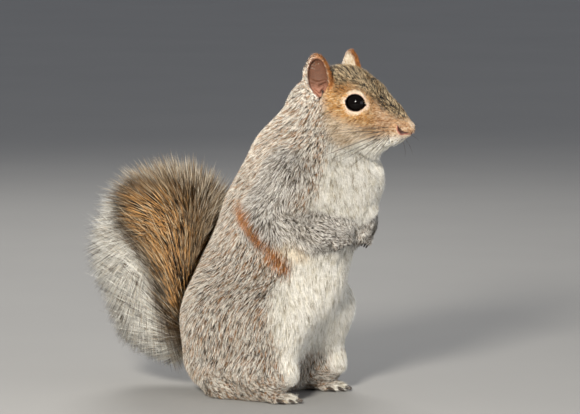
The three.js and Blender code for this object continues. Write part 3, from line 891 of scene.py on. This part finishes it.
def blade_faces(rings):
    """The triangles of one closed blade, whose last ring is a point."""
    tip = (rings - 1) * 3
    faces = [(0, 1, 2)]
    for ring in range(rings - 2):
        for i in range(3):
            a, b = ring * 3 + i, ring * 3 + (i + 1) % 3
            faces += [(a, a + 3, b), (b, a + 3, b + 3)]
    faces += [(tip - 3 + i, tip, tip - 3 + (i + 1) % 3) for i in range(3)]
    return np.array(faces)


def tuft_mesh(name, centres, widths, across, up, colours, uv, smooth_shaded=False):
    """Closed three-sided blades along `centres` (tufts, rings, 3), the last ring drawn to a point."""
    count, rings = centres.shape[:2]
    walls = []
    for across_share, up_share in BLADE:
        offset = (across_share * across + up_share * up)[:, None]
        walls.append(centres[:, :-1] + widths[:, :-1, None] * offset)
    blades = np.stack(walls, axis=2).reshape(count, -1, 3)
    points = np.concatenate([blades, centres[:, -1:]], axis=1)
    faces = blade_faces(rings)
    starts = np.arange(count) * points.shape[1]
    points = points.reshape(-1, 3)
    points[:, 2] = np.maximum(points[:, 2], FLOOR_GAP)
    made = mesh_object(name, points, (faces + starts[:, None, None]).reshape(-1, 3), smooth_shaded)
    level = np.append(np.repeat(np.arange(rings - 1), 3), rings - 1)
    set_colours(made, colours[:, level].reshape(-1, 3))
    sideways = np.append(np.tile([-0.5, 0, 0.5], rings - 1), 0)
    spot = np.column_stack([sideways, level / (rings - 1) - 0.5]) * PATCH
    corner_uv = (uv[:, None] + spot)[:, faces.ravel()]
    made.data.uv_layers.new(name="OFBake").data.foreach_set("uv", corner_uv.astype(np.float32).ravel())
    return made


def body_tufts(name, faces, count, clump_size, shag):
    """Tufts that follow the skin at the height of the coat, rooted a little inside it."""
    middles = skin_points[skin_faces[faces]].mean(1)
    length, width = tuft_size(folded(middles))
    roots, uv = scatter(faces, 1 / (length * width), count)
    length, width = tuft_size(folded(roots))
    length = length * shag * rng.uniform(0.75, 1.25, count)
    out = unit(gradient(skin_field, roots))
    way = lie_of_coat(roots) + rng.normal(0, 0.15, (count, 3))
    way = unit(way - out * (way * out).sum(1, keepdims=True))
    rise = coat_depth(folded(roots)) * rng.triangular(0.5, 0.95, 1.55 * shag, count)
    clump = clumps(roots, vec(*clump_size), LONERS)
    tip, _ = settle(skin_field, gathered(roots + way * length[:, None], clump, GATHERING), rise)
    tip = np.where(ear_inside(folded(tip))[:, None] > 0.3, roots, tip)
    centres = np.stack([roots - 0.3 * out, tip], axis=1)
    widths = width[:, None] * np.array([1, 0]) * rng.uniform(0.75, 1.25, (count, 1))
    colour = body_colour(roots, rng.random(clump.max() + 1)[clump], rng.normal(0, 1.3, count))
    colour = colour * rng.uniform(0.84, 1, clump.max() + 1)[clump, None]
    # Each tuft is darker at its root: partly the hair's own darker base, partly painted shade where the
    # tufts overlap.
    root_band_and_shade = 0.25 + 0.4 * colour.mean(1, keepdims=True)
    colours = np.stack([colour * root_band_and_shade, colour], axis=1)
    return tuft_mesh(name, centres, widths, unit(np.cross(out, way)), out, colours, uv)


TAIL_STARTS = np.array(TAIL[:-1], float)
TAIL_ALONG = np.diff(TAIL, axis=0).astype(float)
TAIL_SPANS = norm(TAIL_ALONG)


def along_tail(p):
    """How far along the tail a point stands, 0 to 1, and its bone's nearest place and direction."""
    share = np.clip(((p[:, None] - TAIL_STARTS) * TAIL_ALONG).sum(2) / TAIL_SPANS**2, 0, 1)
    nearest = TAIL_STARTS + share[:, :, None] * TAIL_ALONG
    bone = norm(p[:, None] - nearest).argmin(1)
    row = np.arange(len(p))
    ends = np.cumsum(TAIL_SPANS)
    total = TAIL_SPANS.sum()
    before = np.concatenate([[0], ends])[bone]
    place = (before + share[row, bone] * TAIL_SPANS[bone]) / total
    ways = unit(TAIL_ALONG)
    middles = (ends - TAIL_SPANS / 2) / total
    way = unit(np.column_stack([np.interp(place, middles, ways[:, k]) for k in range(3)]))
    return place, nearest[row, bone], way


HAIR_STEPS = np.linspace(0.15, 1, 12)
LONGEST_HAIR = 52
SHORTEST_HAIR = 7


def room_ahead(roots, ways):
    """How far each hair of the tail can reach before it leaves the brush or meets flesh."""
    reach = np.full(len(roots), float(LONGEST_HAIR))
    for step in HAIR_STEPS[::-1]:
        p = roots + ways * step * LONGEST_HAIR
        q = folded(p)
        blocked = np.maximum(np.maximum(brush(q), 1.2 - body(q)), 1 - p[:, 2]) > 0
        blocked |= (tail_bone(q) < -0.5) & (step > 0.2)
        reach[blocked] = step * LONGEST_HAIR
    return reach


def tail_tufts(name, faces, count):
    roots, uv = scatter(faces, np.ones(len(faces)), count)
    place, bone, along = along_tail(roots)
    outward = unit(roots - bone)
    tilt = np.interp(place, [0, 0.3, 0.55, 0.7, 1], [0.5, 0.75, 0.45, 0.8, 1.6])[:, None]
    tilt = tilt * rng.uniform(0.6, 1.4, (count, 1))
    way = unit(outward + along * tilt + rng.normal(0, 0.14, (count, 3)))
    length = room_ahead(roots, way) * rng.triangular(0.6, 1, 1.2, count)
    keep = length > SHORTEST_HAIR
    roots, uv, way, along, length = roots[keep], uv[keep], way[keep], along[keep], length[keep]
    count = len(roots)
    shares = np.array([0, 0.36, 0.7, 1])
    sag = (shares**2 - shares) * 0.22
    curve = shares[:, None] * way[:, None] + sag[:, None] * along[:, None]
    centres = roots[:, None] + length[:, None, None] * curve
    widths = rng.uniform(0.32, 0.6, (count, 1)) * np.array([0.8, 1, 0.8, 0])
    chance = rng.random(count)
    drift = rng.normal(0, 2.2, count)
    colours = []
    for k, share in enumerate(shares):
        shown = tail_colour(centres[:, k], np.full(count, share), chance, drift)
        # Each hair is darker towards its root: partly the hair's own darker base, partly painted shade
        # inside the brush.
        colours.append(shown * (0.75 + 0.25 * share))
    colours = np.stack(colours, axis=1)
    side = unit(np.cross(along + rng.normal(0, 0.3, (count, 3)), way))
    return tuft_mesh(name, centres, widths, side, np.cross(way, side), colours, uv, smooth_shaded=True)


TAIL_LENGTHS = ("base", "rise", "crown", "fall", "tip")
TAIL_ENDS = (0.22, 0.42, 0.63, 0.82)  # where each length gives way to the next
FACE_START = 68  # how far forward the face's coat starts
WAIST = 92  # how high the chest's coat starts


def region_of_faces():
    """Sorts the skin's faces into the pieces of coat that grow on them."""
    middles = skin_points[skin_faces].mean(1)
    q = folded(middles)
    x, _, z = q.T
    tail = tail_bone(q) - 1 < body(q) + coat_depth(q)
    rest = ~tail & ~hairless(q)
    on_head, on_arm, _ = nearest_mass(q)
    head_part = rest & ((on_head > 0.5) | ((z > 150) & (x > 34)))
    arm_part = rest & ~head_part & ((on_arm > 0.5) | (to_paw(q) < 13))
    torso = rest & ~head_part & ~arm_part
    front = x > hem_at(z)
    parts = {
        "coat_face": head_part & (x > FACE_START),
        "coat_head": head_part & (x <= FACE_START),
        "coat_foreleg": arm_part,
        "coat_shoulder": torso & ~front & (z > WAIST),
        "coat_haunch": torso & ~front & (z <= WAIST),
        "coat_chest": torso & front & (z > WAIST),
        "coat_belly": torso & front & (z <= WAIST),
    }
    place, _, _ = along_tail(middles)
    length_of_tail = np.searchsorted(TAIL_ENDS, place, side="right")
    regions = {}
    for i, name in enumerate(TAIL_LENGTHS):
        regions[f"tail_hair_{name}"] = tail & (length_of_tail == i)
    left = middles[:, 1] + lean(middles) > 0
    for side, there in (("right", ~left), ("left", left)):
        for name, mask in parts.items():
            regions[f"{name}_{side}"] = mask & there
    return {name: np.flatnonzero(mask) for name, mask in regions.items()}


# How many tufts grow on each side of a part, the size of its clumps, and how long and loose they are.
TUFTS = {
    "coat_face": (14000, (1.2, 0.6, 0.6), 1),
    "coat_head": (13000, (0.9, 0.6, 0.7), 1),
    "coat_foreleg": (12000, (0.9, 0.6, 0.9), 1),
    "coat_shoulder": (22000, (0.65, 0.65, 1), 1),
    "coat_haunch": (30000, (0.65, 0.65, 1), 1),
    "coat_chest": (10000, (0.9, 0.9, 2.4), 1.6),
    "coat_belly": (17000, (0.9, 0.9, 2.4), 1.6),
}
TAIL_TUFTS = 7000


def grow_coat():
    pieces = []
    for name, faces in region_of_faces().items():
        if name.startswith("tail"):
            pieces.append(tail_tufts(name, faces, TAIL_TUFTS))
        else:
            pieces.append(body_tufts(name, faces, *TUFTS[name.rsplit("_", 1)[0]]))
    return pieces


coat = grow_coat()


# ---- eyes, whiskers and claws
def tube(centres, radii, sides=6):
    """Vertices and faces of a round thread that ends in a point."""
    centres = np.array(centres, float)
    along = unit(np.gradient(centres, axis=0))
    start = np.cross(along, vec(0.31, 0.22, 0.93))
    across, up = unit(start), unit(np.cross(along, start))
    angles = np.arange(sides) / sides * 2 * math.pi
    rings = [
        centre + radius * (np.cos(angles)[:, None] * a + np.sin(angles)[:, None] * b)
        for centre, radius, a, b in zip(centres[:-1], radii, across, up)
    ]
    points = np.concatenate([centres[:1], *rings, centres[-1:]])
    faces = []
    for i in range(sides):
        j = (i + 1) % sides
        faces.append((0, 1 + j, 1 + i))
        for ring in range(len(rings) - 1):
            a, b = 1 + ring * sides + i, 1 + ring * sides + j
            faces += [(a, b, b + sides), (a, b + sides, a + sides)]
        last = 1 + (len(rings) - 1) * sides
        faces.append((last + i, last + j, len(points) - 1))
    return points, np.array(faces)


def merged(name, parts):
    points, faces, start = [], [], 0
    for part_points, part_faces in parts:
        points.append(part_points)
        faces.append(part_faces + start)
        start += len(part_points)
    return mesh_object(name, np.concatenate(points), np.concatenate(faces))


WHISKERS = {"rows": 4, "in_row": 4, "root": (88.4, 7.2, 160.21), "row_fall": 1.7, "step": 1.9}
LONGEST_WHISKER = 46
WHISKER_REACH = 56  # the farthest that one may stand out to the side


def whisker(side, row, i):
    """One stiff hair, swept out and a little back."""
    root = vec(*WHISKERS["root"]) - vec(WHISKERS["step"] * i, 0, WHISKERS["row_fall"] * row)
    root, out = settle(skin_field, root[None], 0)
    root, out = root[0] * vec(1, side, 1), out[0] * vec(1, side, 1)
    length = LONGEST_WHISKER * (0.5 + 0.12 * i) * rng.uniform(0.8, 1.1)
    sweep = vec(0.1 - 0.42 * i, side * 0.6, 0.3 - 0.28 * row) + rng.normal(0, 0.08, 3)
    way = unit(0.5 * out + sweep)
    shares = np.linspace(0, 1, 9)[:, None]
    fall = vec(-0.25, 0, -0.22 + 0.05 * row)
    centres = root - out * 0.5 + length * (shares * way + shares**2 * fall)
    centres[:, 1] = np.clip(centres[:, 1], -WHISKER_REACH, WHISKER_REACH)
    return tube(centres, np.linspace(0.19, 0.04, 9), 5)


def whiskers():
    """Rows of whiskers on each side of the muzzle, the rear ones longest."""
    rows, in_row = range(WHISKERS["rows"]), range(WHISKERS["in_row"])
    threads = [whisker(side, row, i) for _, side in SIDES for row in rows for i in in_row]
    return merged("whiskers", threads)


def claw(tip, way, down, size):
    shares = np.linspace(0, 1, 8)[:, None]
    start = tip - way * CLAW_ROOT
    centres = start + shares * way * (size["length"] + CLAW_ROOT) + shares**2 * down * size["droop"]
    return tube(centres, size["radius"] * np.sqrt(1 - np.linspace(0, 0.93, 8) ** 1.6), 10)


def claws():
    made = []
    for _, side in SIDES:
        for bones, way, down in finger_bones(side):
            root = bones[-1] + vec(lead(bones[-1][1]), -PAW_LEAN, 0) + way * 0.8 * FINGERS["radius"]
            made.append(claw(root, way, down, FINGER_CLAW))
        for bones, way, down in toe_bones(side):
            made.append(claw(bones[-1] + way * 0.8 * TOES["radius"], way, down, TOE_CLAW))
    return merged("claws", made)


def eyeball(name, side):
    bpy.ops.mesh.primitive_uv_sphere_add(segments=64, ring_count=40, radius=EYE_RADIUS * MM)
    ball = bpy.context.object
    ball.name = name
    look = Vector((EYE_FRAME[2] * vec(1, side, 1)).tolist())
    ball.data.transform(look.to_track_quat("Z", "Y").to_matrix().to_4x4())
    centre = to_row(vec(EYE[0], EYE[1] * side, EYE[2]))
    for vertex in ball.data.vertices:
        vertex.co += Vector(centre.tolist())
    ball.data.shade_smooth()
    return ball


# ---- materials
def set_sockets(node, **values):
    """Sets sockets of a node, in whose names _ stands for a space."""
    for name, value in values.items():
        node.inputs[name.replace("_", " ")].default_value = value


def material(name, roughness, **sockets):
    """A principled material with its own sockets set, its node tree and its shader."""
    made = bpy.data.materials.new(name)
    made.use_nodes = True
    shader = made.node_tree.nodes["Principled BSDF"]
    set_sockets(shader, Roughness=roughness, **sockets)
    return made, made.node_tree, shader


def noise(tree, scale, detail=3, stretch=None):
    """A noise over the object's own coordinates, in metres."""
    coordinates = tree.nodes.new("ShaderNodeTexCoord")
    texture = tree.nodes.new("ShaderNodeTexNoise")
    set_sockets(texture, Scale=scale, Detail=detail)
    source = coordinates.outputs["Object"]
    if stretch:
        mapping = tree.nodes.new("ShaderNodeMapping")
        set_sockets(mapping, Scale=stretch)
        tree.links.new(source, mapping.inputs["Vector"])
        source = mapping.outputs["Vector"]
    tree.links.new(source, texture.inputs["Vector"])
    return texture.outputs["Fac"]


def spread(tree, value, low, high):
    """Maps a noise, which is mostly 0.3 to 0.7, to a stretch from low to high."""
    scaled = tree.nodes.new("ShaderNodeMapRange")
    set_sockets(scaled, From_Min=0.3, From_Max=0.7, To_Min=low, To_Max=high)
    tree.links.new(value, scaled.inputs["Value"])
    return scaled.outputs["Result"]


def roughen(tree, shader, scale, low, high):
    tree.links.new(spread(tree, noise(tree, scale), low, high), shader.inputs["Roughness"])


def bump(tree, shader, height, distance, strength=0.6):
    node = tree.nodes.new("ShaderNodeBump")
    set_sockets(node, Strength=strength, Distance=distance)
    tree.links.new(height, node.inputs["Height"])
    tree.links.new(node.outputs["Normal"], shader.inputs["Normal"])


def stored_colour(tree, shader, brightness):
    """Gives a surface the colours stored on its mesh, made brighter and darker in places."""
    stored = tree.nodes.new("ShaderNodeAttribute")
    stored.attribute_name = "coat"
    vary = tree.nodes.new("ShaderNodeHueSaturation")
    tree.links.new(stored.outputs["Color"], vary.inputs["Color"])
    tree.links.new(brightness, vary.inputs["Value"])
    tree.links.new(vary.outputs["Color"], shader.inputs["Base Color"])


def two_tone(tree, shader, share, dark, light, low=0, high=1):
    """Gives a surface a colour from dark, where the share is `low`, to light, where it is `high`."""
    ramp = tree.nodes.new("ShaderNodeValToRGB")
    for stop, place, colour in zip(ramp.color_ramp.elements, (low, high), (dark, light)):
        stop.position = place
        stop.color = (*colour, 1)
    tree.links.new(share, ramp.inputs["Fac"])
    tree.links.new(ramp.outputs["Color"], shader.inputs["Base Color"])


def hair_material(name, roughness):
    """Tufts: the stored colour of each hair, a little uneven along it, with fine strands."""
    made, tree, shader = material(name, roughness, Specular_IOR_Level=0.3)
    stored_colour(tree, shader, spread(tree, noise(tree, 900), 0.88, 1.12))
    roughen(tree, shader, 2200, roughness - 0.1, roughness + 0.12)
    bump(tree, shader, noise(tree, 5000, 2), 0.0002)
    return made


def skin_material():
    """Skin under the coat, with the stored markings, fine creases and a downy roughness."""
    glow = {"Subsurface_Weight": 0.08, "Subsurface_Radius": (0.003, 0.0012, 0.0008)}
    made, tree, shader = material("squirrel_skin", 0.6, Specular_IOR_Level=0.35, **glow)
    stored_colour(tree, shader, spread(tree, noise(tree, 1400, 5), 0.75, 1.2))
    roughen(tree, shader, 700, 0.5, 0.72)
    bump(tree, shader, noise(tree, 2600, 4), 0.0004)
    return made


def eye_material():
    """A wet, nearly black eye, mottled a little with brown."""
    made, tree, shader = material("squirrel_eye", 0.04, Specular_IOR_Level=0.1)
    two_tone(tree, shader, noise(tree, 380, 4), (0.0012, 0.001, 0.001), (0.004, 0.0025, 0.002))
    roughen(tree, shader, 500, 0.03, 0.06)
    return made


def horn_material(name, dark, light, scale):
    """Claws and whiskers: horn with streaks."""
    made, tree, shader = material(name, 0.35, Specular_IOR_Level=0.5)
    two_tone(tree, shader, noise(tree, scale, 3, (1, 1, 0.3)), dark, light, 0.35, 0.65)
    roughen(tree, shader, scale, 0.28, 0.45)
    bump(tree, shader, noise(tree, 3 * scale), 0.0001)
    return made


def floor_material():
    made, tree, shader = material("pale_floor", 0.7)
    two_tone(tree, shader, noise(tree, 6), (0.3, 0.295, 0.285), (0.34, 0.335, 0.32))
    return made


# ---- assembly
def show(piece, slot_name, finish, *replaced):
    piece.data.materials.clear()
    piece.data.materials.append(finish)
    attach(piece, "root")
    if replaced:
        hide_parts(*replaced)


PAIRED = ("foreleg", "forepaw", "hindleg", "hindfoot", "ear")
FLESH = ["trunk", "neck", "head", "nose", "tail_base", "tail_crown", "tail_tip"]
FLESH += [f"{part}_{name}" for part in PAIRED for name, _ in SIDES]
CLAW_NODES = sorted(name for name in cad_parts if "claw" in name)

show(skin, "coat", skin_material(), *FLESH)
coat_finish = hair_material("squirrel_coat", 0.55)
tail_finish = hair_material("squirrel_tail_hair", 0.5)
for piece in coat:
    on_tail = piece.name.startswith("tail")
    show(piece, "tail_hair" if on_tail else "coat", tail_finish if on_tail else coat_finish)
eye_finish = eye_material()
for name, side in SIDES:
    show(eyeball(f"eyeball_{name}", side), "eye", eye_finish, f"eye_{name}")
claw_finish = horn_material("squirrel_claw", (0.012, 0.009, 0.007), (0.07, 0.05, 0.035), 600)
whisker_finish = horn_material("squirrel_whisker", (0.01, 0.008, 0.007), (0.16, 0.13, 0.1), 300)
show(claws(), "claw", claw_finish, *CLAW_NODES)
show(whiskers(), "claw", whisker_finish)


# ---- floor, light and camera
AZIMUTH, ELEVATION = math.radians(30), math.radians(6)
RIGHT = vec(math.cos(AZIMUTH), math.sin(AZIMUTH), 0)
LEVEL = vec(math.sin(AZIMUTH), -math.cos(AZIMUTH), 0)
TOWARDS = LEVEL * math.cos(ELEVATION) + vec(0, 0, math.sin(ELEVATION))
AIM = to_row(vec(24.1, -9.2, 111.7))
DISTANCE = 2.5
FRAME_WIDTH = 0.3364  # of the view, at the animal
SENSOR = 36


def aim(thing, way, distance=1):
    """Puts a light or the camera some way out from the middle of the view, and points it back."""
    thing.location = AIM + way * distance
    thing.rotation_euler = Vector((-way).tolist()).to_track_quat("-Z", "Y").to_euler()


def add_light(name, way, size, watts, colour):
    lamp = bpy.data.lights.new(name, "AREA")
    lamp.size = size
    lamp.energy = watts
    lamp.color = colour
    aim(placed(name, lamp), way)


def add_stage():
    bpy.ops.mesh.primitive_circle_add(vertices=96, radius=6, fill_type="NGON")
    floor = bpy.context.object
    floor.name = "floor"
    floor.data.materials.append(floor_material())
    world = bpy.data.worlds.new("studio")
    bpy.context.scene.world = world
    world.use_nodes = True
    set_sockets(world.node_tree.nodes["Background"], Color=(0.86, 0.9, 1, 1), Strength=0.3)
    add_light("key", -0.35 * RIGHT + 1.25 * TOWARDS + vec(0, 0, 0.42), 0.25, 33, (1, 0.95, 0.87))
    add_light("fill", 1.1 * RIGHT + 0.9 * TOWARDS, 0.8, 8, (0.95, 0.97, 1))
    add_light("rim", -0.2 * RIGHT - 1.0 * TOWARDS + vec(0, 0, 0.9), 0.6, 7, (1, 0.97, 0.92))


def add_camera():
    lens = bpy.data.cameras.new("camera")
    lens.sensor_width = SENSOR
    lens.lens = SENSOR * DISTANCE / FRAME_WIDTH
    lens.clip_end = 50
    camera = placed("camera", lens)
    aim(camera, TOWARDS, DISTANCE)
    bpy.context.scene.camera = camera
    bpy.context.scene.view_settings.view_transform = "Standard"


add_stage()
add_camera()
